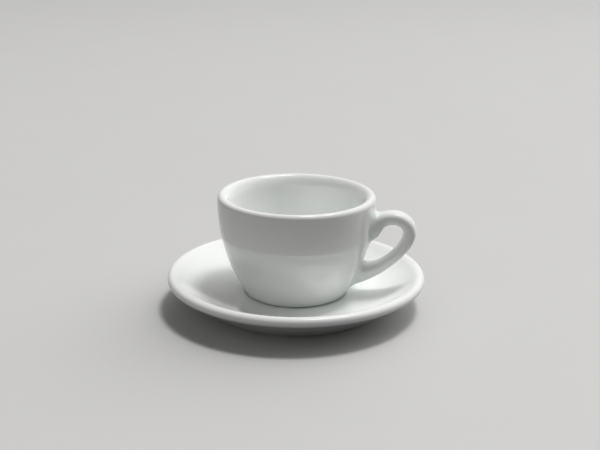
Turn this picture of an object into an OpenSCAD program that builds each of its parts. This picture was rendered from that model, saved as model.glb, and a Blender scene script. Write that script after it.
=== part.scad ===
// Thick-walled espresso cup on its saucer.
// Three clay pieces: a turned bowl, a cast handle that is stuck on to its wall, and a turned saucer.
// The origin is the middle of the saucer's foot, +Z is up and the handle points along +X.

/* [Saucer] */
// Diameter over the rim
saucer_d = 132; // [122:1:150]
// Height from the foot to the top of the rim
saucer_h = 18.3; // [17:0.1:23]
// Thickness of the rounded rim
saucer_lip = 4.9; // [4:0.1:5.6]
// Width of the rim, from its edge to the foot of its inner rounding
brow_w = 7.2; // [6:0.1:9]
// Depth of that inner rounding below the top of the rim
brow_drop = 2.1; // [1.6:0.1:2.8]
// Slope of the dish there, where it is steepest, in degrees
dish_slope = 33; // [28:1:38]
// Height of the well that carries the cup
well_z = 7.4; // [6.4:0.1:8.4]
// Thickness of the floor under the well
saucer_floor = 4.6; // [4:0.1:5.2]
// Diameter over the land of the foot ring
saucer_foot_d = 87; // [80:0.5:92]
// Width of the land of the foot ring
saucer_land = 3.6; // [2.5:0.1:5]
// Rounding between the foot ring's land and the underside
saucer_heel = 1.2; // [0.6:0.1:1.8]

/* [Seat of the cup] */
// Depth of the seat in the well that keeps the cup in the middle
seat_depth = 0.3; // [0.2:0.1:0.4]
// Room between the cup's foot and the seat's edge
seat_clearance = 1.2; // [1.2:0.1:2.4]
// Width of the soft step at the seat's edge
seat_step = 1.2; // [0.8:0.1:2]
// Flat margin between that step and the rising dish
well_margin = 1.5; // [0.5:0.1:4]

/* [Cup] */
// Diameter over the mouth
mouth_d = 80; // [74:0.5:90]
// Height from the cup's foot to the top of the lip
cup_h = 52; // [48:0.5:58]
// Rounding of the lip's outer edge
cup_lip_r = 2.2; // [1.6:0.1:2.8]
// Width of the lip, from the outside of the wall to the foot of its inner rounding
cup_lip_w = 6.3; // [5.4:0.1:7]
// Depth of that inner rounding below the top of the lip
cup_lip_drop = 6.8; // [5:0.1:8]
// Diameter over the land of the cup's foot
cup_foot_d = 50; // [46:0.5:55]
// Rounding between the foot's land and the wall
cup_heel = 3.7; // [2.6:0.1:4.4]
// Lean of the wall above the foot, in degrees from upright
wall_lean = 21; // [15:1:25]
// Width of the land of the cup's foot
cup_land = 3.2; // [2:0.1:5]
// Depth of the hollow under the cup
cup_recess = 1.6; // [1:0.1:2.4]
// Height of the floor inside the cup above its foot
cup_floor_z = 6.5; // [5:0.1:8]
// Diameter of the flat part of that floor
cup_floor_d = 26; // [16:1:30]

/* [Handle] */
// Distance that the handle stands out from the mouth
handle_stand = 20.9; // [18:0.1:24]
// Thickness of the handle at its crest and its bow, seen from its side
handle_t = 6.8; // [5.5:0.1:7.6]
// Width of the handle, seen from its end
handle_w = 10.4; // [8:0.1:13]
// Drop from the lip to the crest of the handle
crest_drop = 6.8; // [5.5:0.1:9]
// Distance of the crest from the edge of the mouth
crest_out = 9.4; // [8:0.1:11]
// Drop from the lip to where the handle stands out furthest
bow_drop = 17.2; // [15.5:0.1:19]
// Drop from the lip to the top of the upper root
upper_root_drop = 8.9; // [8:0.1:11]
// Height of the upper root on the wall
upper_root_h = 13.6; // [12:0.1:14.5]
// Distance of the middle of the lower arm from the edge of the mouth
arm_out = 9.2; // [8:0.1:10.5]
// Height of the middle of the lower arm above the cup's foot
arm_z = 20.4; // [19:0.1:22]
// Thickness of the lower arm, seen from its side
arm_t = 5.8; // [5:0.1:7]
// Slope of the lower arm, in degrees
arm_slope = 43; // [38:1:48]
// Height of the underside of the lower root above the cup's foot
lower_root_z = 4.6; // [3.8:0.1:6]
// Height of the lower root on the wall
lower_root_h = 12.4; // [11:0.1:14]
// Widening of each root to either side
root_flare = 2.1; // [1:0.1:3.5]

/* [Hidden] */
glaze = "whitesmoke";

// Steps along each curve and arc, and round the handle's section
curve_steps = 22;
arc_steps = 12;
edge_steps = 11;
section_steps = 24;
$fn = 120;

// Each part of the outlines is one curve: how far each of its ends leads, per length
wall_lead_shares = [0.48, 0.45];
lip_lead_shares = [0.33, 0.42];
inside_lead_shares = [0.4, 0.36];
brow_lead_shares = [0.3, 0.46];
dish_lead_shares = [0.36, 0.36];
step_lead_shares = [0.45, 0.45];

// Heading of the inside just under the lip, which leans in by a few degrees
inside_heading = -94;

// The handle's outer and inner edge: leads of its four stretches, and headings at the two roots
outer_lead_shares = [[0.29, 0.38], [0.42, 0.36], [0.3, 0.36], [0.29, 0.39]];
inner_lead_shares = [[0.56, 0.5], [0.41, 0.37], [0.29, 0.44], [0.37, 0.44]];
upper_headings = [9, 0];
lower_headings = [-165, 178];
// Roundness of the section: 2 is an oval, higher is squarer
section_power = 2.7;
// Part of the handle's length over which each root widens, and how quickly
flare_share = 0.22;
flare_power = 2;
// Depth to which the roots are drawn into the wall before they are cut back to it
root_sink = 1.6;

mouth_r = mouth_d / 2;
cup_foot_r = cup_foot_d / 2;
cup_lip_centre = [mouth_r - cup_lip_r, cup_h - cup_lip_r];
cup_shoulder = [mouth_r - cup_lip_w, cup_h - cup_lip_drop];
cup_heel_centre = [cup_foot_r, cup_heel];
saucer_lip_r = saucer_lip / 2;
saucer_lip_centre = [saucer_d / 2 - saucer_lip_r, saucer_h - saucer_lip_r];
saucer_brow = [saucer_d / 2 - brow_w, saucer_h - brow_drop];
saucer_heel_centre = [saucer_foot_d / 2, saucer_heel];
saucer_foot_h = well_z - saucer_floor;
seat_r = cup_foot_r + seat_clearance;
dish_z = well_z + seat_depth;
dish_r = seat_r + seat_step + well_margin;

function heading(angle) = [cos(angle), sin(angle)];

function arc(centre, radius, from, to) =
    [for (i = [0 : arc_steps]) centre + radius * heading(from + (to - from) * i / arc_steps)];

// Point at t on the curve from a to b, where a and b are [place, heading]
function along(a, b, lead_shares, t) =
    let (
        reach = norm(b[0] - a[0]),
        p = a[0] + reach * lead_shares[0] * heading(a[1]),
        q = b[0] - reach * lead_shares[1] * heading(b[1]),
        s = 1 - t
    )
    s * s * s * a[0] + 3 * s * s * t * p + 3 * s * t * t * q + t * t * t * b[0];

function curve(a, b, lead_shares) =
    [for (i = [0 : curve_steps]) along(a, b, lead_shares, i / curve_steps)];

// Outside of the cup's wall, from the heel to the lip
wall_curve = curve(
    [cup_heel_centre + cup_heel * heading(-wall_lean), 90 - wall_lean],
    [cup_lip_centre + cup_lip_r * heading(0), 90],
    wall_lead_shares
);

// Inner rounding of the lip, from its top to the shoulder on the inside
lip_curve = curve(
    [cup_lip_centre + cup_lip_r * heading(90), 180],
    [cup_shoulder, inside_heading],
    lip_lead_shares
);

// Inside of the cup, from that shoulder to the flat of the floor
inside_curve = curve(
    [cup_shoulder, inside_heading],
    [[cup_floor_d / 2, cup_floor_z], 180],
    inside_lead_shares
);

// Radius of the wall's outside at a height above the cup's foot
function wall_r(z) = lookup(z, [for (p = wall_curve) [p.y, p.x]]);

cup_outline = concat(
    arc(cup_heel_centre, cup_heel, -90, -wall_lean),
    wall_curve,
    arc(cup_lip_centre, cup_lip_r, 0, 90)
);

cup_inside = concat(lip_curve, inside_curve);

cup_hollow = arc([cup_foot_r - cup_land - cup_recess, 0], cup_recess, 90, 0);

// The saucer's underside is the straight line that touches its heel and its lip
underside = saucer_lip_centre - saucer_heel_centre;
underside_slope = atan2(underside.y, underside.x) - asin((saucer_lip_r - saucer_heel) / norm(underside));

saucer_outline = concat(
    arc([saucer_foot_d / 2 - saucer_land - saucer_foot_h, 0], saucer_foot_h, 90, 0),
    arc(saucer_heel_centre, saucer_heel, -90, underside_slope - 90),
    arc(saucer_lip_centre, saucer_lip_r, underside_slope - 90, 90)
);

// Inner rounding of the rim, from its top to the steepest part of the dish
brow_curve = curve(
    [saucer_lip_centre + saucer_lip_r * heading(90), 180],
    [saucer_brow, 180 + dish_slope],
    brow_lead_shares
);

dish_curve = curve(
    [saucer_brow, 180 + dish_slope],
    [[dish_r, dish_z], 180],
    dish_lead_shares
);

seat_curve = curve(
    [[seat_r + seat_step, dish_z], 180],
    [[seat_r, well_z], 180],
    step_lead_shares
);

saucer_dish = concat(brow_curve, dish_curve, seat_curve);

// Stops of the handle's edges, each [place, heading], from the upper root to the lower root
crest = [mouth_r + crest_out, cup_h - crest_drop];
bow = [mouth_r + handle_stand, cup_h - bow_drop];
arm = [mouth_r + arm_out, arm_z];
arm_heading = arm_slope - 180;
upper_root_z = cup_h - upper_root_drop;

function root(z) = [wall_r(z) - root_sink, z];

// side is 0 for the outer edge and 1 for the inner one
function stops(side) = [
    [root(upper_root_z - side * upper_root_h), upper_headings[side]],
    [crest - side * [0, handle_t], 0],
    [bow - side * [handle_t, 0], -90],
    [arm + (1 / 2 - side) * arm_t * heading(arm_heading + 90), arm_heading],
    [root(lower_root_z + side * lower_root_h), lower_headings[side]]
];

function edge(stops, lead_shares) = concat(
    [
        for (i = [0 : len(lead_shares) - 1], k = [0 : edge_steps - 1])
            along(stops[i], stops[i + 1], lead_shares[i], k / edge_steps)
    ],
    [stops[len(lead_shares)][0]]
);

outer_edge = edge(stops(0), outer_lead_shares);
inner_edge = edge(stops(1), inner_lead_shares);

// Half the handle's width at t, the part of its length from the upper root
function half_width(t) =
    handle_w / 2 + root_flare * pow(max(0, 1 - min(t, 1 - t) / flare_share), flare_power);

function rounded(x) = sign(x) * pow(abs(x), 2 / section_power);

// Section between two points of the edges, as a ring of points round the handle
function section(outer, inner, half_w) =
    let (middle = (outer + inner) / 2, half_t = (outer - inner) / 2)
    [
        for (i = [0 : section_steps - 1])
            let (
                turn = heading(360 * i / section_steps),
                p = middle + half_t * rounded(turn.x)
            )
            [p.x, half_w * rounded(turn.y), p.y]
    ];

// Skin through a row of rings, closed at both ends
module skin(rings) {
    sides = len(rings[0]);
    last = (len(rings) - 1) * sides;
    walls = [
        for (k = [0 : len(rings) - 2], i = [0 : sides - 1])
            let (a = k * sides + i, b = k * sides + (i + 1) % sides)
            each [[a, a + sides, b], [b, a + sides, b + sides]]
    ];
    start_cap = [for (i = [0 : sides - 1]) i];
    end_cap = [for (i = [sides - 1 : -1 : 0]) last + i];
    polyhedron([for (ring = rings) each ring], concat(walls, [start_cap], [end_cap]));
}

// The cup's outside without its hollow, which the handle is cut to
module cup_blank() {
    rotate_extrude()
        polygon(concat([[0, 0]], cup_outline, [[0, cup_h]]));
}

module saucer() {
    color(glaze)
        rotate_extrude()
            polygon(concat([[0, saucer_foot_h]], saucer_outline, saucer_dish, [[0, well_z]]));
}

module cup_bowl() {
    color(glaze)
        translate([0, 0, well_z])
            rotate_extrude()
                polygon(concat([[0, cup_recess]], cup_hollow, cup_outline, cup_inside, [[0, cup_floor_z]]));
}

module cup_handle() {
    count = len(outer_edge) - 1;
    rings = [for (k = [0 : count]) section(outer_edge[k], inner_edge[k], half_width(k / count))];
    color(glaze)
        translate([0, 0, well_z])
            difference() {
                skin(rings);
                cup_blank();
            }
}

saucer();
cup_bowl();
cup_handle();
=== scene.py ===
"""Espresso cup on its saucer: turned and cast porcelain pieces in a clear glaze, over the packed model."""

import math

import bmesh
import bpy
from bpy.props import FloatProperty, FloatVectorProperty, PointerProperty
from bpy.types import Operator, Panel, PropertyGroup
from mathutils import Matrix, Vector


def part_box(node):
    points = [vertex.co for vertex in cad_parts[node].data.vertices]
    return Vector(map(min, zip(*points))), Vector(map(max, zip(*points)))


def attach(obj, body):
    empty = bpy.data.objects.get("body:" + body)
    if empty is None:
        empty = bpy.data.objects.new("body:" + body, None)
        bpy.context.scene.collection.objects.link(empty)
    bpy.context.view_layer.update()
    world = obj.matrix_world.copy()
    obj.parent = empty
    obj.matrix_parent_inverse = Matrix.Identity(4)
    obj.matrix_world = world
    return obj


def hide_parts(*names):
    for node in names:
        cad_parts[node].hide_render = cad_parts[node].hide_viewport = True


bl_info = {
    "name": "Espresso Cup and Saucer",
    "version": (1, 0, 0),
    "blender": (4, 5, 0),
    "location": "View3D > Sidebar > Porcelain",
    "description": "Turns the bowl and the saucer, casts the handle and sets the stage",
    "category": "Object",
}

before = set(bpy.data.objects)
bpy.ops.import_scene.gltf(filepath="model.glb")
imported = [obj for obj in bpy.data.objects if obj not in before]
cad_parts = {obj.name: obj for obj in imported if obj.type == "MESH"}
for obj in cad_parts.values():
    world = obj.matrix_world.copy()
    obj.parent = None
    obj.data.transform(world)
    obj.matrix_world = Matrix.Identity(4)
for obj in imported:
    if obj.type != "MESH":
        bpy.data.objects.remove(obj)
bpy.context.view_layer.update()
BOWL_LOW, BOWL_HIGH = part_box("cup_bowl")
SAUCER_LOW, SAUCER_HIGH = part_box("saucer")
HANDLE_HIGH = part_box("cup_handle")[1]

MM = 0.001
MICRON = 1e-6
WELD = 2 * MICRON


# Properties

def length(name, description, default):
    return FloatProperty(
        name=name, description=description, default=default, min=0, precision=4, unit="LENGTH"
    )


def angle(name, description, degrees):
    return FloatProperty(
        name=name, description=description, default=math.radians(degrees), subtype="ANGLE"
    )


def share(name, description, default):
    return FloatProperty(
        name=name, description=description, default=default, min=0, max=1, subtype="FACTOR"
    )


def colour(name, description, default):
    return FloatVectorProperty(
        name=name, description=description, default=default, size=3, min=0, max=1, subtype="COLOR"
    )


def watts(name, description, default):
    return FloatProperty(name=name, description=description, default=default, min=0, unit="POWER")


def strength(name, description, default):
    return FloatProperty(name=name, description=description, default=default, min=0)


class SaucerSizes(PropertyGroup):
    """Sizes of the turned saucer."""

    diameter: length("Diameter", "Diameter over the rim", round(SAUCER_HIGH.x - SAUCER_LOW.x, 4))
    height: length("Height", "Height from the foot to the top of the rim", round(SAUCER_HIGH.z, 4))
    lip: length("Rim", "Thickness of the rounded rim", 4.9 * MM)
    brow: length("Brow", "Width of the rim, from its edge to the foot of its inner rounding", 7.2 * MM)
    brow_drop: length("Brow Drop", "Depth of the rim's inner rounding below its top", 2.1 * MM)
    dish_slope: angle("Dish Slope", "Slope of the dish where it is steepest", 33)
    well: length("Well", "Height of the well that carries the cup", round(BOWL_LOW.z, 4))
    floor: length("Floor", "Thickness of the floor under the well", 4.6 * MM)
    foot: length("Foot", "Diameter over the land of the foot ring", 87 * MM)
    land: length("Land", "Width of the land of the foot ring", 3.6 * MM)
    heel: length("Heel", "Rounding between the land and the underside", 1.2 * MM)
    seat_depth: length("Seat Depth", "Depth of the seat that keeps the cup in the middle", 0.3 * MM)
    seat_clearance: length("Seat Clearance", "Room between the cup's foot and the seat's edge", 1.5 * MM)
    seat_step: length("Seat Step", "Width of the soft step at the seat's edge", 1.2 * MM)
    well_margin: length("Well Margin", "Flat margin between the step and the dish", 1.5 * MM)


class CupSizes(PropertyGroup):
    """Sizes of the turned bowl."""

    mouth: length("Mouth", "Diameter over the mouth", round(BOWL_HIGH.x - BOWL_LOW.x, 4))
    height: length("Height", "Height from the foot to the lip's top", round(BOWL_HIGH.z - BOWL_LOW.z, 4))
    lip: length("Lip", "Rounding of the lip's outer edge", 2.2 * MM)
    lip_width: length("Lip Width", "Width of the lip, out to the foot of its inner rounding", 6.3 * MM)
    lip_drop: length("Lip Drop", "Depth of the lip's inner rounding below its top", 6.8 * MM)
    inside_lean: angle("Inside Lean", "Lean of the inside below the lip, from upright", 4)
    foot: length("Foot", "Diameter of the foot, to where the heel's rounding begins", 49.4 * MM)
    heel: length("Heel", "Rounding from the foot into the wall, before the relief is cut", 2 * MM)
    wall_lean: angle("Wall Lean", "Lean of the wall above the foot, from upright", 32)
    land: length("Land", "Width of the land of the foot", 3.2 * MM)
    recess: length("Recess", "Depth of the hollow under the cup", 1.6 * MM)
    relief: length("Relief", "Height of the relief round the land", 0.3 * MM)
    relief_inset: length("Relief Inset", "Distance of the land's edge from the edge of the foot", 1 * MM)
    relief_step: length("Relief Step", "Width of the soft step from the land up to the relief", 0.5 * MM)
    edge: length("Edge", "Rounding left between the relief and the wall", 1.2 * MM)
    floor_height: length("Floor Height", "Height of the floor inside above the foot", 6.5 * MM)
    floor: length("Floor", "Diameter of the flat part of the floor", 26 * MM)


class HandleSizes(PropertyGroup):
    """Sizes of the cast handle."""

    reach: length("Reach", "Distance of the bow from the cup's axis", round(HANDLE_HIGH.x, 4))
    thickness: length("Thickness", "Thickness at the crest and the bow, seen from the side", 6.8 * MM)
    width: length("Width", "Width, seen from the end", 10.4 * MM)
    crest_drop: length("Crest Drop", "Drop from the lip to the crest", 6.8 * MM)
    crest_out: length("Crest Out", "Distance of the crest from the edge of the mouth", 9.4 * MM)
    bow_drop: length("Bow Drop", "Drop from the lip to where the handle stands out furthest", 17.2 * MM)
    upper_root_drop: length("Upper Root Drop", "Drop from the lip to the upper root", 8.9 * MM)
    upper_root: length("Upper Root", "Height of the upper root on the wall", 13.6 * MM)
    arm_out: length("Arm Out", "Distance of the lower arm's middle from the edge of the mouth", 9.2 * MM)
    arm_height: length("Arm Height", "Height of the lower arm's middle above the foot", 20.4 * MM)
    arm_thickness: length("Arm Thickness", "Thickness of the lower arm, seen from the side", 5.8 * MM)
    arm_slope: angle("Arm Slope", "Slope of the lower arm", 43)
    lower_root_height: length("Lower Root Height", "Height of the lower root above the foot", 4.6 * MM)
    lower_root: length("Lower Root", "Height of the lower root on the wall", 12.4 * MM)
    root_flare: length("Root Flare", "Widening of each root to either side", 2.1 * MM)
    fillet: length("Fillet", "Rounding of the glaze in the corner between a root and the wall", 2.5 * MM)


class GlazeLook(PropertyGroup):
    """Colours and gloss of the glazed porcelain."""

    glaze: colour("Glaze", "Colour of the glaze over white clay", (0.865, 0.877, 0.858))
    pooled: colour("Pooled Glaze", "Colour where the glaze has run together", (0.775, 0.815, 0.795))
    thin: colour("Thin Glaze", "Colour where the glaze has drawn off an edge", (0.885, 0.882, 0.866))
    clay: colour("Bare Clay", "Colour of the bare clay on the lands of the feet", (0.70, 0.665, 0.60))
    speck: colour("Speck", "Colour of the fine specks under the glaze", (0.42, 0.36, 0.29))
    scuff: colour("Scuff", "Colour of the grey rubbing marks", (0.50, 0.50, 0.49))
    cup_roughness: share("Cup Roughness", "Roughness of clean glaze on the cup", 0.04)
    saucer_roughness: share("Saucer Roughness", "Roughness of clean glaze on the saucer", 0.13)
    clay_roughness: share("Clay Roughness", "Roughness of bare clay", 0.72)


class StageLook(PropertyGroup):
    """Floor, lamps and camera."""

    floor: colour("Floor", "Colour of the plain floor", (0.53, 0.525, 0.52))
    bounce: colour("Floor Bounce", "Colour that the floor throws back on the pieces", (0.1, 0.1, 0.1))
    backdrop: colour("Backdrop", "Colour of the studio beyond the floor", (0.33, 0.328, 0.325))
    turn: angle("Turn", "Turn of the camera and the lamps about the cup's axis", 9)
    key: watts("Key Lamp", "Power of the lamp that throws the shadows", 72)
    soft_box: watts("Soft Box", "Power of the wide lamp that the glaze mirrors", 25)
    back_fill: strength("Back Fill", "Strength of the soft light from behind on the right", 2.8)
    front_fill: strength("Front Fill", "Strength of the soft light from in front on the left", 0.66)


# Outlines

# How far a stretch runs on along its first and its last heading, as shares of the straight way
WALL_LEAD_SHARES = (0.352, 0.378)
LIP_LEAD_SHARES = (0.33, 0.42)
INSIDE_LEAD_SHARES = (0.4, 0.36)
BROW_LEAD_SHARES = (0.3, 0.46)
DISH_LEAD_SHARES = (0.36, 0.36)
STEP_LEAD_SHARES = (0.45, 0.45)
OUTER_LEAD_SHARES = ((0.29, 0.38), (0.42, 0.36), (0.3, 0.36), (0.29, 0.39))
INNER_LEAD_SHARES = ((0.56, 0.5), (0.41, 0.37), (0.29, 0.44), (0.37, 0.44))
# Headings at the handle's roots in degrees, for its outer and its inner edge
UPPER_HEADINGS = (9, 0)
LOWER_HEADINGS = (-165, 178)
# Power of the handle's section, where 2 is an oval and more comes nearer to a rectangle
SECTION_POWER = 2.7
FLARE_SHARE = 0.22
FLARE_POWER = 2
ROOT_SINK = 1.6 * MM
LAND_EDGE = 0.4 * MM
ARC_LIMIT = 60
LINE_LEAD_SHARE = 1 / 3
HALVINGS = 40
# Steps to a stretch, and faces round a piece
SAUCER_STEPS = 14
BOWL_STEPS = 16
HANDLE_STEPS = 56
WHEEL_SEGMENTS = 256
HANDLE_SIDES = 72


def heading(degrees):
    return Vector((math.cos(math.radians(degrees)), math.sin(math.radians(degrees))))


class Outline:
    """Chain of Bezier stretches in the upright plane through the axis, as pairs of radius and height."""

    def __init__(self, *place):
        self.stops = [[Vector(place)] * 3]

    def stretch(self, leave, lead, place, arrive, follow):
        """Adds a stretch to a place, with both headings in degrees and both leads as lengths."""
        last = self.stops[-1][1]
        self.stops[-1][2] = last + lead * heading(leave)
        self.stops.append([place - follow * heading(arrive), place, place])

    def curve(self, leave, place, arrive, lead_shares):
        """Adds a stretch whose leads are shares of the straight way to the place."""
        reach = (place - self.stops[-1][1]).length
        self.stretch(leave, reach * lead_shares[0], place, arrive, reach * lead_shares[1])

    def line(self, *place):
        """Adds a straight stretch, unless the outline is at the place already."""
        step = Vector(place) - self.stops[-1][1]
        if step.length > WELD:
            slope = math.degrees(math.atan2(step.y, step.x))
            self.curve(slope, Vector(place), slope, (LINE_LEAD_SHARE, LINE_LEAD_SHARE))

    def arc(self, centre, radius, start, end):
        """Adds a round stretch about a centre, with a straight one up to its start."""
        self.line(*(centre + radius * heading(start)))
        count = math.ceil(abs(end - start) / ARC_LIMIT)
        step = (end - start) / count
        side = math.copysign(90, step)
        lead = radius * 4 / 3 * math.tan(math.radians(abs(step)) / 4)
        for i in range(count):
            at = start + step * i
            self.stretch(at + side, lead, centre + radius * heading(at + step), at + step + side, lead)

    def make(self, name, steps):
        """A curve object along the outline, with that many steps to a stretch."""
        curve = bpy.data.curves.new(name, "CURVE")
        curve.dimensions = "3D"
        curve.resolution_u = steps
        spline = curve.splines.new("BEZIER")
        spline.bezier_points.add(len(self.stops) - 1)
        for point, stop in zip(spline.bezier_points, self.stops):
            point.handle_left_type = "FREE"
            point.handle_right_type = "FREE"
            point.handle_left, point.co, point.handle_right = [(p.x, 0, p.y) for p in stop]
        guide = bpy.data.objects.new(name, curve)
        bpy.context.scene.collection.objects.link(guide)
        return guide


def foot_ring(outline, foot_r, land, hollow):
    """The hollow under a piece, and the land that it stands on, out to the land's outer edge."""
    base = outline.stops[0][1].y - hollow
    corner = Vector((foot_r - land - hollow, base))
    rounded = math.degrees(math.asin(LAND_EDGE / hollow))
    outline.arc(corner, hollow, 90, rounded)
    outline.curve(rounded - 90, Vector((foot_r - land + LAND_EDGE, base)), 0, STEP_LEAD_SHARES)
    outline.line(foot_r, base)


def land_radius(cup):
    """Radius of the land that the cup stands on."""
    return cup.foot / 2 - cup.relief_inset


def seat_radius(saucer, cup):
    """Radius of the flat of the seat that takes the cup's foot."""
    return cup.foot / 2 + saucer.seat_clearance


def saucer_outline(saucer, cup):
    """From the middle of the hollow underneath, round the rim, to the middle of the seat."""
    foot_r = saucer.foot / 2
    lip_r = saucer.lip / 2
    heel_centre = Vector((foot_r, saucer.heel))
    lip_centre = Vector((saucer.diameter / 2 - lip_r, saucer.height - lip_r))
    across = lip_centre - heel_centre
    lean = math.atan2(across.y, across.x) - math.asin((lip_r - saucer.heel) / across.length)
    underside = math.degrees(lean) - 90
    slope = math.degrees(saucer.dish_slope)
    seat_r = seat_radius(saucer, cup)
    step_r = seat_r + saucer.seat_step
    dish_z = saucer.well + saucer.seat_depth
    hollow = saucer.well - saucer.floor
    outline = Outline(0, hollow)
    foot_ring(outline, foot_r, saucer.land, hollow)
    outline.arc(heel_centre, saucer.heel, -90, underside)
    outline.arc(lip_centre, lip_r, underside, 90)
    brow = Vector((saucer.diameter / 2 - saucer.brow, saucer.height - saucer.brow_drop))
    outline.curve(180, brow, 180 + slope, BROW_LEAD_SHARES)
    outline.curve(180 + slope, Vector((step_r + saucer.well_margin, dish_z)), 180, DISH_LEAD_SHARES)
    outline.line(step_r, dish_z)
    outline.curve(180, Vector((seat_r, saucer.well)), 180, STEP_LEAD_SHARES)
    outline.line(0, saucer.well)
    return outline


def wall_stretch(cup, base):
    """Start, start heading and end of the bowl's outer wall, in part heights."""
    lean = math.degrees(cup.wall_lean)
    start = Vector((cup.foot / 2, base + cup.heel)) + cup.heel * heading(-lean)
    return start, 90 - lean, Vector((cup.mouth / 2, base + cup.height - cup.lip))


def bowl_outline(cup, base):
    """From the middle of the hollow underneath, over the lip, to the middle of the floor inside."""
    start, rise, end = wall_stretch(cup, base)
    shoulder = Vector((cup.mouth / 2 - cup.lip_width, base + cup.height - cup.lip_drop))
    fall = -90 - math.degrees(cup.inside_lean)
    land_r = land_radius(cup)
    facing = heading(rise - 90)
    edge_z = base + cup.relief + cup.edge
    edge_r = start.x + ((start.y - edge_z) * facing.y - cup.edge) / facing.x
    outline = Outline(0, base + cup.recess)
    foot_ring(outline, land_r, cup.land, cup.recess)
    outline.curve(0, Vector((land_r + cup.relief_step, base + cup.relief)), 0, STEP_LEAD_SHARES)
    outline.arc(Vector((edge_r, edge_z)), cup.edge, -90, rise - 90)
    outline.line(*start)
    outline.curve(rise, end, 90, WALL_LEAD_SHARES)
    outline.arc(end - Vector((cup.lip, 0)), cup.lip, 0, 90)
    outline.curve(180, shoulder, fall, LIP_LEAD_SHARES)
    outline.curve(fall, Vector((cup.floor / 2, base + cup.floor_height)), 180, INSIDE_LEAD_SHARES)
    outline.line(0, base + cup.floor_height)
    return outline


def wall_radius(cup, base, height):
    """Radius of the wall's outside at a part height, by halving the stretch until it is found."""
    start, rise, end = wall_stretch(cup, base)
    reach = (end - start).length
    ahead = start + reach * WALL_LEAD_SHARES[0] * heading(rise)
    behind = end - reach * WALL_LEAD_SHARES[1] * heading(90)
    low, high = 0.0, 1.0
    for _ in range(HALVINGS):
        t = (low + high) / 2
        s = 1 - t
        place = s ** 3 * start + 3 * s * s * t * ahead + 3 * s * t * t * behind + t ** 3 * end
        low, high = (t, high) if place.y < height else (low, t)
    return place.x


def handle_edge(handle, cup, base, inner):
    """The handle's outer edge, or its inner one where inner is 1, from the upper root to the lower."""
    mouth_r = cup.mouth / 2
    top = base + cup.height
    slope = math.degrees(handle.arm_slope) - 180
    crest = Vector((mouth_r + handle.crest_out, top - handle.crest_drop - inner * handle.thickness))
    bow = Vector((handle.reach - inner * handle.thickness, top - handle.bow_drop))
    arm = Vector((mouth_r + handle.arm_out, base + handle.arm_height))
    arm += (0.5 - inner) * handle.arm_thickness * heading(slope + 90)
    upper = top - handle.upper_root_drop - inner * handle.upper_root
    lower = base + handle.lower_root_height + inner * handle.lower_root
    end = Vector((wall_radius(cup, base, lower) - ROOT_SINK, lower))
    leads = INNER_LEAD_SHARES if inner else OUTER_LEAD_SHARES
    outline = Outline(wall_radius(cup, base, upper) - ROOT_SINK, upper)
    outline.curve(UPPER_HEADINGS[inner], crest, 0, leads[0])
    outline.curve(0, bow, -90, leads[1])
    outline.curve(-90, arm, slope, leads[2])
    outline.curve(slope, end, LOWER_HEADINGS[inner], leads[3])
    return outline


# Node graphs

class Wire:
    """A node's output in an expression: arithmetic on it adds Math nodes to its graph."""

    def __init__(self, graph, socket):
        self.graph = graph
        self.socket = socket

    def out(self, name):
        """Another output of the same node."""
        return Wire(self.graph, self.socket.node.outputs[name])

    def __add__(self, other):
        return self.graph.math("ADD", self, other)

    def __sub__(self, other):
        return self.graph.math("SUBTRACT", self, other)

    def __rsub__(self, other):
        return self.graph.math("SUBTRACT", other, self)

    def __mul__(self, other):
        return self.graph.math("MULTIPLY", self, other)

    def __truediv__(self, other):
        return self.graph.math("DIVIDE", self, other)

    def __rtruediv__(self, other):
        return self.graph.math("DIVIDE", other, self)

    def __pow__(self, other):
        return self.graph.math("POWER", self, other)

    def __rpow__(self, other):
        return self.graph.math("POWER", other, self)

    __radd__ = __add__
    __rmul__ = __mul__


class Graph:
    """Adds nodes to one tree."""

    def __init__(self, tree):
        self.tree = tree

    def add(self, kind, settings=None, sockets=None, output=0):
        """A node of that kind with its settings made first, then its sockets set or linked."""
        node = self.tree.nodes.new(kind)
        for name, value in (settings or {}).items():
            setattr(node, name, value)
        for name, value in (sockets or {}).items():
            if isinstance(value, Wire):
                self.tree.links.new(value.socket, node.inputs[name])
            else:
                node.inputs[name].default_value = value
        return Wire(self, node.outputs[output]) if node.outputs else node

    def math(self, operation, *values):
        return self.add("ShaderNodeMath", {"operation": operation}, dict(enumerate(values)))

    def vector(self, operation, *values, output="Vector"):
        sockets = dict(enumerate(values))
        return self.add("ShaderNodeVectorMath", {"operation": operation}, sockets, output)

    def parts(self, vector):
        """X, Y and Z of a vector."""
        split = self.add("ShaderNodeSeparateXYZ", sockets={0: vector})
        return split, split.out("Y"), split.out("Z")

    def joined(self, x, y, z):
        return self.add("ShaderNodeCombineXYZ", sockets={0: x, 1: y, 2: z})


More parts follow.
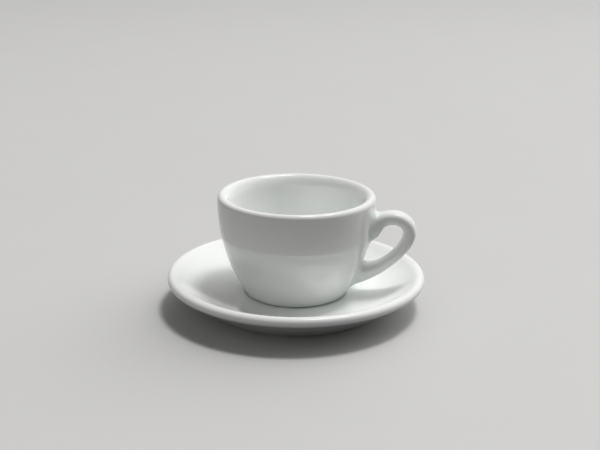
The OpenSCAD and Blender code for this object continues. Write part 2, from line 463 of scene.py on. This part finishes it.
class Shape(Graph):
    """Geometry tree with named inputs, whose result is realized and given its material."""

    def __init__(self, name, inputs):
        super().__init__(bpy.data.node_groups.new(name, "GeometryNodeTree"))
        self.sockets = {}
        face = self.tree.interface
        for label, kind in {**inputs, "Material": "Material"}.items():
            socket = face.new_socket(label, in_out="INPUT", socket_type="NodeSocket" + kind)
            self.sockets[label] = socket.identifier
        face.new_socket("Geometry", in_out="OUTPUT", socket_type="NodeSocketGeometry")
        self.given = self.add("NodeGroupInput")

    def body(self, label):
        """The geometry of the object in that input."""
        given = self.given.out(label)
        return self.add("GeometryNodeObjectInfo", sockets={"Object": given}, output="Geometry")

    def line(self, label):
        """The points of a guide curve, in order."""
        return self.add("GeometryNodeCurveToMesh", sockets={"Curve": self.body(label)})

    def count(self, line):
        """Number of points on a line."""
        sockets = {"Geometry": line}
        return self.add("GeometryNodeAttributeDomainSize", sockets=sockets, output="Point Count")

    def along(self, line, row):
        """Place of the line's point with that number."""
        return self.add(
            "GeometryNodeSampleIndex",
            {"data_type": "FLOAT_VECTOR", "domain": "POINT"},
            {"Geometry": line, "Value": self.add("GeometryNodeInputPosition"), "Index": row},
        )

    def sheet(self, columns, rows):
        """A sheet of that many columns of faces and rows of points, with each point's column and row."""
        grid = self.add("GeometryNodeMeshGrid", sockets={"Vertices X": columns + 1, "Vertices Y": rows})
        index = self.add("GeometryNodeInputIndex")
        column = self.math("FLOOR", index / rows)
        return grid, column, index - column * rows

    def moved(self, mesh, place):
        return self.add("GeometryNodeSetPosition", sockets={"Geometry": mesh, "Position": place})

    def welded(self, mesh):
        return self.add("GeometryNodeMergeByDistance", sockets={"Geometry": mesh, "Distance": WELD})

    def finish(self, mesh):
        """Ends the tree with the smooth, realized and glazed mesh."""
        smooth = self.add("GeometryNodeSetShadeSmooth", sockets={"Geometry": mesh})
        real = self.add("GeometryNodeRealizeInstances", sockets={"Geometry": smooth})
        glaze = self.given.out("Material")
        dressed = self.add("GeometryNodeSetMaterial", sockets={"Geometry": real, "Material": glaze})
        self.add("NodeGroupOutput", sockets={"Geometry": dressed})

    def make(self, name, **values):
        """A plain mesh object made by the tree with those inputs."""
        piece = bpy.data.objects.new(name, bpy.data.meshes.new(name))
        bpy.context.scene.collection.objects.link(piece)
        modifier = piece.modifiers.new(self.tree.name, "NODES")
        modifier.node_group = self.tree
        for label, value in values.items():
            modifier[self.sockets[label.replace("_", " ").title()]] = value
        graph = bpy.context.evaluated_depsgraph_get()
        mesh = bpy.data.meshes.new_from_object(piece.evaluated_get(graph))
        piece.modifiers.clear()
        piece.data = mesh
        mesh.name = name
        if not mesh.polygons:
            raise RuntimeError(f"{name} came out empty")
        outward(mesh)
        return piece


def outward(mesh):
    """Turns every face of a closed mesh outwards."""
    shell = bmesh.new()
    shell.from_mesh(mesh)
    bmesh.ops.recalc_face_normals(shell, faces=shell.faces)
    shell.to_mesh(mesh)
    shell.free()
    mesh.update()


def wheel():
    """Tree that turns an outline about the upright axis."""
    shape = Shape("turn_on_wheel", {"Profile": "Object", "Segments": "Int"})
    profile = shape.line("Profile")
    segments = shape.given.out("Segments")
    grid, column, row = shape.sheet(segments, shape.count(profile))
    turn = column / segments * math.tau
    radius, _, height = shape.parts(shape.along(profile, row))
    place = shape.joined(radius * shape.math("COSINE", turn), radius * shape.math("SINE", turn), height)
    shape.finish(shape.welded(shape.moved(grid, place)))
    return shape


ROW_MARGIN = 0.5
HALVED = (0.5, 0.5, 0.5)
LEVEL = (1, 1, 0)


def loop_mould():
    """Tree that spans rings between two edges, widens them at both ends and rounds them into a wall."""
    shape = Shape("cast_loop", {
        "Outer Edge": "Object",
        "Inner Edge": "Object",
        "Wall": "Object",
        "Sides": "Int",
        "Width": "Float",
        "Root Flare": "Float",
        "Fillet": "Float",
    })
    given = shape.given
    outer = shape.line("Outer Edge")
    inner = shape.line("Inner Edge")
    rings = shape.count(outer)
    grid, column, row = shape.sheet(given.out("Sides"), rings + 2)
    ring = shape.math("MINIMUM", shape.math("MAXIMUM", row - 1, 0), rings - 1)
    is_ring = shape.math("COMPARE", ring, row - 1, ROW_MARGIN)
    turn = column / given.out("Sides") * -math.tau

    def rounded(value):
        size = shape.math("ABSOLUTE", value) ** (2 / SECTION_POWER)
        return shape.math("SIGN", value) * size * is_ring

    far = shape.along(outer, ring)
    near = shape.along(inner, ring)
    middle = shape.vector("MULTIPLY", shape.vector("ADD", far, near), HALVED)
    half = shape.vector("SUBTRACT", far, middle)
    t = ring / (rings - 1)
    to_root = shape.math("MINIMUM", t, 1 - t)
    flare = shape.math("MAXIMUM", 1 - to_root / FLARE_SHARE, 0) ** FLARE_POWER
    half_width = given.out("Width") / 2 + given.out("Root Flare") * flare
    thick = rounded(shape.math("COSINE", turn))
    wide = rounded(shape.math("SINE", turn)) * half_width
    across = shape.vector("MULTIPLY", half, shape.joined(thick, thick, thick))
    place = shape.vector("ADD", shape.vector("ADD", middle, across), shape.joined(0, wide, 0))
    loop = shape.welded(shape.moved(grid, place))
    shape.finish(rounded_into_wall(shape, loop))
    return shape


def rounded_into_wall(shape, loop):
    """Swells the loop where it comes close to the wall, as a quarter round that ends along the wall."""
    fillet = shape.given.out("Fillet")
    wall = shape.body("Wall")
    here = shape.add("GeometryNodeInputPosition")
    normal = shape.add("GeometryNodeInputNormal")
    touch = shape.add("GeometryNodeProximity", sockets={"Geometry": wall, "Sample Position": here})
    here_r = shape.vector("LENGTH", shape.vector("MULTIPLY", here, LEVEL), output="Value")
    wall_r = shape.vector("LENGTH", shape.vector("MULTIPLY", touch, LEVEL), output="Value")
    gap = touch.out("Distance") * shape.math("SIGN", here_r - wall_r)
    depth = shape.math("MINIMUM", shape.math("MAXIMUM", fillet - gap, 0), fillet)
    swell = fillet - shape.math("SQRT", shape.math("MAXIMUM", fillet * fillet - depth * depth, 0))
    facing = shape.add(
        "GeometryNodeSampleNearestSurface",
        {"data_type": "FLOAT_VECTOR"},
        {"Mesh": wall, "Value": normal, "Sample Position": here},
    )
    lean = shape.vector("DOT_PRODUCT", normal, facing, output="Value")
    out_of_wall = shape.vector("MULTIPLY", facing, shape.joined(lean, lean, lean))
    along_wall = shape.vector("NORMALIZE", shape.vector("SUBTRACT", normal, out_of_wall))
    push = shape.vector("MULTIPLY", along_wall, shape.joined(swell, swell, swell))
    return shape.add("GeometryNodeSetPosition", sockets={"Geometry": loop, "Offset": push})


# Finishes

# Numbers of a Mix node's colour sockets
MIX_FIRST, MIX_SECOND, MIX_RESULT = 6, 7, 2


class Finish(Graph):
    """Material whose nodes read the piece's own place."""

    def __init__(self, name):
        self.material = bpy.data.materials.new(name)
        self.material.use_nodes = True
        super().__init__(self.material.node_tree)
        self.tree.nodes.clear()
        self.place = self.add("ShaderNodeTexCoord", output="Object")
        self.x, self.y, self.z = self.parts(self.place)
        self.radius = self.math("SQRT", self.x * self.x + self.y * self.y)

    def noise(self, wave, detail=2.0, roughness=0.5, distortion=0.0):
        """Soft noise from 0 to 1 with that wave length."""
        sockets = {
            "Vector": self.place,
            "Scale": 1 / wave,
            "Detail": detail,
            "Roughness": roughness,
            "Distortion": distortion,
        }
        return self.add("ShaderNodeTexNoise", sockets=sockets)

    def step(self, value, start, end, low=0.0, high=1.0):
        """Smooth step of a value from start to end."""
        sockets = {"Value": value, "From Min": start, "From Max": end, "To Min": low, "To Max": high}
        return self.add("ShaderNodeMapRange", {"interpolation_type": "SMOOTHSTEP"}, sockets)

    def band(self, value, low, high, soft):
        """1 between low and high, falling to 0 over a soft edge outside them."""
        return self.step(value, low - soft, low) * self.step(value, high, high + soft, 1.0, 0.0)

    def mix(self, factor, first, second):
        """Blend of two colours."""

        def paint(value):
            return value if isinstance(value, Wire) else (*value, 1)

        sockets = {"Factor": factor, MIX_FIRST: paint(first), MIX_SECOND: paint(second)}
        return self.add("ShaderNodeMix", {"data_type": "RGBA"}, sockets, output=MIX_RESULT)

    def bump(self, height, distance, below=None):
        """Normal of a relief of that height, on top of the one below it."""
        sockets = {"Height": height, "Distance": distance, "Strength": 1.0}
        if below:
            sockets["Normal"] = below
        return self.add("ShaderNodeBump", sockets=sockets)

    def surface(self, **values):
        """The finished material, with those values on its shader."""
        sockets = {name.replace("_", " "): value for name, value in values.items()}
        shader = self.add("ShaderNodeBsdfPrincipled", sockets=sockets)
        self.add("ShaderNodeOutputMaterial", sockets={"Surface": shader})
        return self.material


def shaded(paint, share_left):
    """A darker shade of a colour."""
    return tuple(share_left * channel for channel in paint)


# Waves are lengths, spans are where a soft step starts and ends, and dulling adds to the roughness
GLAZE_IOR = 2.0
CLOUD_WAVE = 26 * MM
CLOUD_SPAN = (0.3, 0.7)
CLOUD_SHARE = 0.22
RIPPLE_WAVE = 9 * MM
RIPPLE_SPAN = (0.2, 0.8)
POOL_LEAST = 0.65
POOL_SHARE = 0.75
POOL_DULLING = -0.01
THIN_SHARE = 0.8
SPECK_CELL = 7 * MM
SPECK_SPAN = (0.014, 0.034)
SPECK_CHANCE = (0.80, 0.82)
SPECK_LEAST = 0.2
SPECK_MORE = 0.5
SCUFF_SHARE = 0.5
SCUFF_DULLING = 0.25
SMEAR_WAVE = 18 * MM
SMEAR_SPAN = (0.45, 0.75)
SMEAR_DULLING = 0.035
BARE_SPAN = (0.25 * MM, 0.6 * MM)
BARE_WAVE = 2.5 * MM
BARE_WANDER = 0.5 * MM
GRAIN_WAVE = 0.35 * MM
GRAIN_SPAN = (0.35, 0.7)
GRAIN_SHADE = 0.86
GRAIN_RELIEF = 45 * MICRON
PEEL_WAVE = 14 * MM
DIMPLE_WAVE = 3.2 * MM
DIMPLE_SHARE = 0.35
RING_PITCH = 1.9 * MM
RING_WANDER = 9
RING_SHARE = 0.12
FIRED_RELIEF = 7 * MICRON


def specks(finish):
    """Fine specks under the glaze: one in the middle of a few cells of a net, faint or stronger."""
    sockets = {"Vector": finish.place, "Scale": 1 / SPECK_CELL}
    cells = finish.add("ShaderNodeTexVoronoi", sockets=sockets, output="Distance")
    chance, _, force = finish.parts(cells.out("Color"))
    spot = finish.step(cells, *SPECK_SPAN, 1.0, 0.0)
    return spot * finish.step(chance, *SPECK_CHANCE) * (SPECK_LEAST + SPECK_MORE * force)


def bare_land(finish, land_z):
    """1 on the land, where the glaze is wiped off, up to an edge that wanders a little."""
    wander = (finish.noise(BARE_WAVE) - 0.5) * BARE_WANDER
    low, high = BARE_SPAN
    return finish.step(finish.z + wander, land_z + low, land_z + high, 1.0, 0.0)


def fired_relief(finish, cloud):
    """Normal of the fired surface: dimples, a wider peel, and faint rings from the wheel."""
    peel = finish.noise(DIMPLE_WAVE, detail=1) * DIMPLE_SHARE + finish.noise(PEEL_WAVE, detail=1)
    turns = finish.radius * (math.tau / RING_PITCH) + cloud * RING_WANDER
    return finish.bump(peel + finish.math("SINE", turns) * RING_SHARE, FIRED_RELIEF)


def glaze_body(finish, look, clean, land_z, pooled, thin, scuffed):
    """Shared glaze: its tone and gloss, from how it ran, drew off, wore and was wiped off the land."""
    cloud = finish.noise(CLOUD_WAVE, detail=3)
    cloudy = finish.step(cloud, *CLOUD_SPAN, 0.0, CLOUD_SHARE)
    pool = pooled * finish.step(finish.noise(RIPPLE_WAVE), *RIPPLE_SPAN, POOL_LEAST, 1.0)
    grain = finish.noise(GRAIN_WAVE, detail=4)
    bare = bare_land(finish, land_z)
    clay = finish.mix(finish.step(grain, *GRAIN_SPAN), look.clay, shaded(look.clay, GRAIN_SHADE))
    tone = finish.mix(cloudy + pool * POOL_SHARE, look.glaze, look.pooled)
    tone = finish.mix(thin * THIN_SHARE, tone, look.thin)
    tone = finish.mix(specks(finish), tone, look.speck)
    tone = finish.mix(scuffed * SCUFF_SHARE, tone, look.scuff)
    tone = finish.mix(bare, tone, clay)
    smear = finish.step(finish.noise(SMEAR_WAVE, detail=4, roughness=0.6, distortion=1.2), *SMEAR_SPAN)
    glazed = clean + smear * SMEAR_DULLING + pool * POOL_DULLING + scuffed * SCUFF_DULLING
    roughness = glazed + bare * (look.clay_roughness - glazed)
    grit = finish.bump(grain * bare, GRAIN_RELIEF, fired_relief(finish, cloud))
    return finish.surface(Base_Color=tone, Roughness=roughness, Normal=grit, IOR=GLAZE_IOR)


UPPER_FACE_BELOW = (1 * MM, 0.2 * MM)
SEAT_POOL_IN = 0.6 * MM
SEAT_POOL_OUT = 2 * MM
SEAT_POOL_SOFT = 3 * MM
RIM_THIN = 1.6 * MM
WORN_WAVE = 1.1 * MM
WORN_SPAN = (0.5, 0.68)
WORN_SOFT = 0.8 * MM


def saucer_glaze(look, saucer, cup):
    """Glaze that pools at the seat's step, thins on the rim and is scuffed where the cup stands."""
    finish = Finish("saucer_glaze")
    start, end = UPPER_FACE_BELOW
    upper_face = finish.step(finish.z, saucer.well - start, saucer.well - end)
    step_r = seat_radius(saucer, cup) + saucer.seat_step / 2
    pool = finish.band(finish.radius, step_r - SEAT_POOL_IN, step_r + SEAT_POOL_OUT, SEAT_POOL_SOFT)
    thin = finish.step(finish.z, saucer.height - RIM_THIN, saucer.height)
    worn = finish.step(finish.noise(WORN_WAVE, detail=5, roughness=0.7), *WORN_SPAN)
    land_r = land_radius(cup)
    ring = finish.band(finish.radius, land_r - cup.land, land_r, WORN_SOFT)
    scuffed = ring * upper_face * worn
    return glaze_body(finish, look, look.saucer_roughness, 0, pool * upper_face, thin, scuffed)


HEEL_POOL = (0.5 * MM, 1.6 * MM)
HEEL_POOL_SOFT = 2.2 * MM
FLOOR_POOL_OUT = (6 * MM, 12 * MM)
FLOOR_POOL_HEIGHT = 4 * MM
FLOOR_POOL_SHARE = 0.6
LIP_THIN = 1.5 * MM
UNSCUFFED = 0.0


def bowl_glaze(look, cup, base):
    """Glaze that pools at the heel and round the floor inside, and thins on the lip."""
    finish = Finish("bowl_glaze")
    top = base + cup.height
    floor_r = cup.floor / 2
    floor_z = base + cup.floor_height
    low, high = HEEL_POOL
    near, far = FLOOR_POOL_OUT
    heel = finish.band(finish.z, base + low, base + high, HEEL_POOL_SOFT)
    inside = finish.step(finish.radius, floor_r + near, floor_r + far, 1.0, 0.0)
    floor = inside * finish.step(finish.z, floor_z + FLOOR_POOL_HEIGHT, floor_z, 0.0, 1.0)
    thin = finish.step(finish.z, top - LIP_THIN, top)
    pooled = heel + floor * FLOOR_POOL_SHARE
    return glaze_body(finish, look, look.cup_roughness, base, pooled, thin, UNSCUFFED)


UPPER_ROOT_POOL = (-1 * MM, 3.5 * MM)
LOWER_ROOT_POOL = (26 * MM, 31 * MM)
LOWER_ROOT_LEAN = 0.42
CREST_THIN = 1.2 * MM


def handle_glaze(look, cup, handle, base):
    """Glaze that pools at both roots and thins on the crest, with no bare land."""
    finish = Finish("handle_glaze")
    near, far = UPPER_ROOT_POOL
    upper = finish.step(finish.x, cup.mouth / 2 + near, cup.mouth / 2 + far, 1.0, 0.0)
    from_wall = finish.x - (finish.z - base) * LOWER_ROOT_LEAN
    lower = finish.step(from_wall, *LOWER_ROOT_POOL, 1.0, 0.0)
    crest = base + cup.height - handle.crest_drop
    thin = finish.step(finish.z, crest - CREST_THIN, crest)
    pooled = finish.math("MAXIMUM", upper, lower)
    no_land = base - cup.height
    return glaze_body(finish, look, look.cup_roughness, no_land, pooled, thin, UNSCUFFED)


def seen(graph):
    """1 for rays that show what they meet: straight to the camera, in a reflection or through glass."""
    ray = graph.add("ShaderNodeLightPath", output="Is Camera Ray")
    mirrored = graph.math("MAXIMUM", ray.out("Is Glossy Ray"), ray.out("Is Transmission Ray"))
    return graph.math("MAXIMUM", ray, mirrored)


FLOOR_WAVE = 90 * MM
FLOOR_SPAN = (0.3, 0.7)
FLOOR_CLOUD_SHARE = 0.10
FLOOR_SHADE = 0.9
FLOOR_GRAIN_WAVE = 1.5 * MM
FLOOR_ROUGHNESS = (0.62, 0.72)
FLOOR_RELIEF = 20 * MICRON


def floor_paint(look):
    """Pale, faintly cloudy floor, which throws less light back on the pieces than it shows."""
    finish = Finish("pale_floor")
    cloud = finish.step(finish.noise(FLOOR_WAVE, detail=3), *FLOOR_SPAN, 0.0, FLOOR_CLOUD_SHARE)
    tone = finish.mix(cloud, look.floor, shaded(look.floor, FLOOR_SHADE))
    tone = finish.mix(seen(finish), look.bounce, tone)
    grain = finish.noise(FLOOR_GRAIN_WAVE)
    roughness = finish.step(grain, *FLOOR_SPAN, *FLOOR_ROUGHNESS)
    return finish.surface(Base_Color=tone, Roughness=roughness, Normal=finish.bump(grain, FLOOR_RELIEF))


# Operators

def dress(piece, node, body):
    """Puts a finished piece in the place of a CAD node, on that node's body."""
    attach(piece, body)
    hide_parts(node)


def discard(*guides):
    """Removes guide curves that have done their work."""
    for guide in guides:
        bpy.data.curves.remove(guide.data)


class PORCELAIN_OT_saucer(Operator):
    """Turn the saucer"""

    bl_idname = "porcelain.saucer"
    bl_label = "Turn Saucer"

    def execute(self, context):
        scene = context.scene
        guide = saucer_outline(scene.saucer_sizes, scene.cup_sizes).make("saucer_profile", SAUCER_STEPS)
        glaze = saucer_glaze(scene.glaze_look, scene.saucer_sizes, scene.cup_sizes)
        piece = wheel().make("turned_saucer", profile=guide, segments=WHEEL_SEGMENTS, material=glaze)
        discard(guide)
        dress(piece, "saucer", "saucer")
        return {"FINISHED"}


class PORCELAIN_OT_bowl(Operator):
    """Turn the cup's bowl"""

    bl_idname = "porcelain.bowl"
    bl_label = "Turn Bowl"

    def execute(self, context):
        scene = context.scene
        base = scene.saucer_sizes.well
        guide = bowl_outline(scene.cup_sizes, base).make("bowl_profile", BOWL_STEPS)
        glaze = bowl_glaze(scene.glaze_look, scene.cup_sizes, base)
        piece = wheel().make("turned_bowl", profile=guide, segments=WHEEL_SEGMENTS, material=glaze)
        discard(guide)
        dress(piece, "cup_bowl", "cup")
        return {"FINISHED"}


class PORCELAIN_OT_handle(Operator):
    """Cast the handle and stick it to the bowl"""

    bl_idname = "porcelain.handle"
    bl_label = "Cast Handle"

    def execute(self, context):
        scene = context.scene
        base = scene.saucer_sizes.well
        sizes = scene.handle_sizes
        edges = [handle_edge(sizes, scene.cup_sizes, base, inner) for inner in (0, 1)]
        outer, inner = [edge.make(f"handle_edge_{i}", HANDLE_STEPS) for i, edge in enumerate(edges)]
        piece = loop_mould().make(
            "cast_handle",
            outer_edge=outer,
            inner_edge=inner,
            wall=bpy.data.objects["turned_bowl"],
            sides=HANDLE_SIDES,
            width=sizes.width,
            root_flare=sizes.root_flare,
            fillet=sizes.fillet,
            material=handle_glaze(scene.glaze_look, scene.cup_sizes, sizes, base),
        )
        discard(outer, inner)
        dress(piece, "cup_handle", "cup")
        return {"FINISHED"}


# Stage

FLOOR_SIDE = 24.0
LENS = 60
SENSOR = 36
EYE_BACK = 485.2 * MM
EYE_HEIGHT = 191.7 * MM
EYE_DOWN = math.radians(17.9)
EYE_ASIDE = math.radians(0.22)
EYE_ROLL = math.radians(0.5)
CLIP_START = 10 * MM
LAMPS_FROM = Vector((0.25, 0.15, 1))
LAMP_DISTANCE = 4.0
KEY_SIDE = 0.8
BOX_SIDE = 1.8
BACK_FROM = Vector((0.7, 0.7, 0.6))
FRONT_FROM = Vector((-0.7, -0.7, 0.6))
FILL_FOCUS = 4


class PORCELAIN_OT_stage(Operator):
    """Set the floor, the lamps and the camera"""

    bl_idname = "porcelain.stage"
    bl_label = "Set Stage"

    def execute(self, context):
        scene = context.scene
        look = scene.stage_look
        turn = Matrix.Rotation(look.turn, 4, "Z")
        self.lay_floor(scene, look)
        key = self.hang_lamp(scene, "key_lamp", turn @ LAMPS_FROM, KEY_SIDE, look.key)
        key.visible_glossy = False
        self.hang_lamp(scene, "soft_box", turn @ LAMPS_FROM, BOX_SIDE, look.soft_box)
        self.light_all_round(scene, look, turn)
        self.place_camera(scene, turn @ Matrix.Translation((0, 0, scene.saucer_sizes.well)))
        scene.view_settings.view_transform = "Standard"
        return {"FINISHED"}

    def lay_floor(self, scene, look):
        mesh = bpy.data.meshes.new("floor")
        half = FLOOR_SIDE / 2
        corners = [(-half, -half, 0), (half, -half, 0), (half, half, 0), (-half, half, 0)]
        mesh.from_pydata(corners, [], [(0, 1, 2, 3)])
        mesh.materials.append(floor_paint(look))
        floor = bpy.data.objects.new("floor", mesh)
        scene.collection.objects.link(floor)

    def hang_lamp(self, scene, name, way, side, power):
        lamp = bpy.data.lights.new(name, "AREA")
        lamp.shape = "DISK"
        lamp.size = side
        lamp.energy = power
        holder = bpy.data.objects.new(name, lamp)
        away = way.normalized()
        turned = away.to_track_quat("Z", "Y").to_matrix().to_4x4()
        holder.matrix_world = Matrix.Translation(away * LAMP_DISTANCE) @ turned
        scene.collection.objects.link(holder)
        return holder

    def light_all_round(self, scene, look, turn):
        world = bpy.data.worlds.new("studio")
        world.use_nodes = True
        world.node_tree.nodes.clear()
        graph = Graph(world.node_tree)
        way = graph.add("ShaderNodeTexCoord", output="Generated")
        soft = 0
        for aim, power in ((BACK_FROM, look.back_fill), (FRONT_FROM, look.front_fill)):
            facing = graph.vector("DOT_PRODUCT", way, tuple((turn @ aim).normalized()), output="Value")
            soft = soft + graph.math("MAXIMUM", facing, 0) ** FILL_FOCUS * power
        fill = graph.add("ShaderNodeBackground", sockets={"Color": (1, 1, 1, 1), "Strength": soft})
        view = graph.add("ShaderNodeBackground", sockets={"Color": (*look.backdrop, 1), "Strength": 1.0})
        shown = graph.add("ShaderNodeMixShader", sockets={0: seen(graph), 1: fill, 2: view})
        graph.add("ShaderNodeOutputWorld", sockets={"Surface": shown})
        scene.world = world

    def place_camera(self, scene, foot):
        camera = bpy.data.cameras.new("camera")
        camera.lens = LENS
        camera.sensor_width = SENSOR
        camera.clip_start = CLIP_START
        eye = bpy.data.objects.new("camera", camera)
        aim = Matrix.Rotation(-EYE_ASIDE, 4, "Z") @ Matrix.Rotation(math.pi / 2 - EYE_DOWN, 4, "X")
        back = Matrix.Translation((0, -EYE_BACK, EYE_HEIGHT))
        eye.matrix_world = foot @ back @ aim @ Matrix.Rotation(EYE_ROLL, 4, "Z")
        scene.collection.objects.link(eye)
        scene.camera = eye


OPERATORS = (PORCELAIN_OT_saucer, PORCELAIN_OT_bowl, PORCELAIN_OT_handle, PORCELAIN_OT_stage)
GROUPS = {
    "saucer_sizes": SaucerSizes,
    "cup_sizes": CupSizes,
    "handle_sizes": HandleSizes,
    "glaze_look": GlazeLook,
    "stage_look": StageLook,
}


class VIEW3D_PT_porcelain(Panel):
    """Buttons for each piece, and the sizes and colours behind them"""

    bl_label = "Espresso Cup and Saucer"
    bl_space_type = "VIEW_3D"
    bl_region_type = "UI"
    bl_category = "Porcelain"

    def draw(self, context):
        for operator in OPERATORS:
            self.layout.operator(operator.bl_idname)
        for name, group in GROUPS.items():
            box = self.layout.box()
            box.label(text=group.__doc__)
            for field in group.__annotations__:
                box.prop(getattr(context.scene, name), field)


CLASSES = (*GROUPS.values(), *OPERATORS, VIEW3D_PT_porcelain)


def register():
    for cls in CLASSES:
        bpy.utils.register_class(cls)
    for name, group in GROUPS.items():
        setattr(bpy.types.Scene, name, PointerProperty(type=group))


def unregister():
    for name in GROUPS:
        delattr(bpy.types.Scene, name)
    for cls in reversed(CLASSES):
        bpy.utils.unregister_class(cls)


def main():
    register()
    bpy.ops.porcelain.saucer()
    bpy.ops.porcelain.bowl()
    bpy.ops.porcelain.handle()
    bpy.ops.porcelain.stage()


if __name__ == "__main__":
    main()
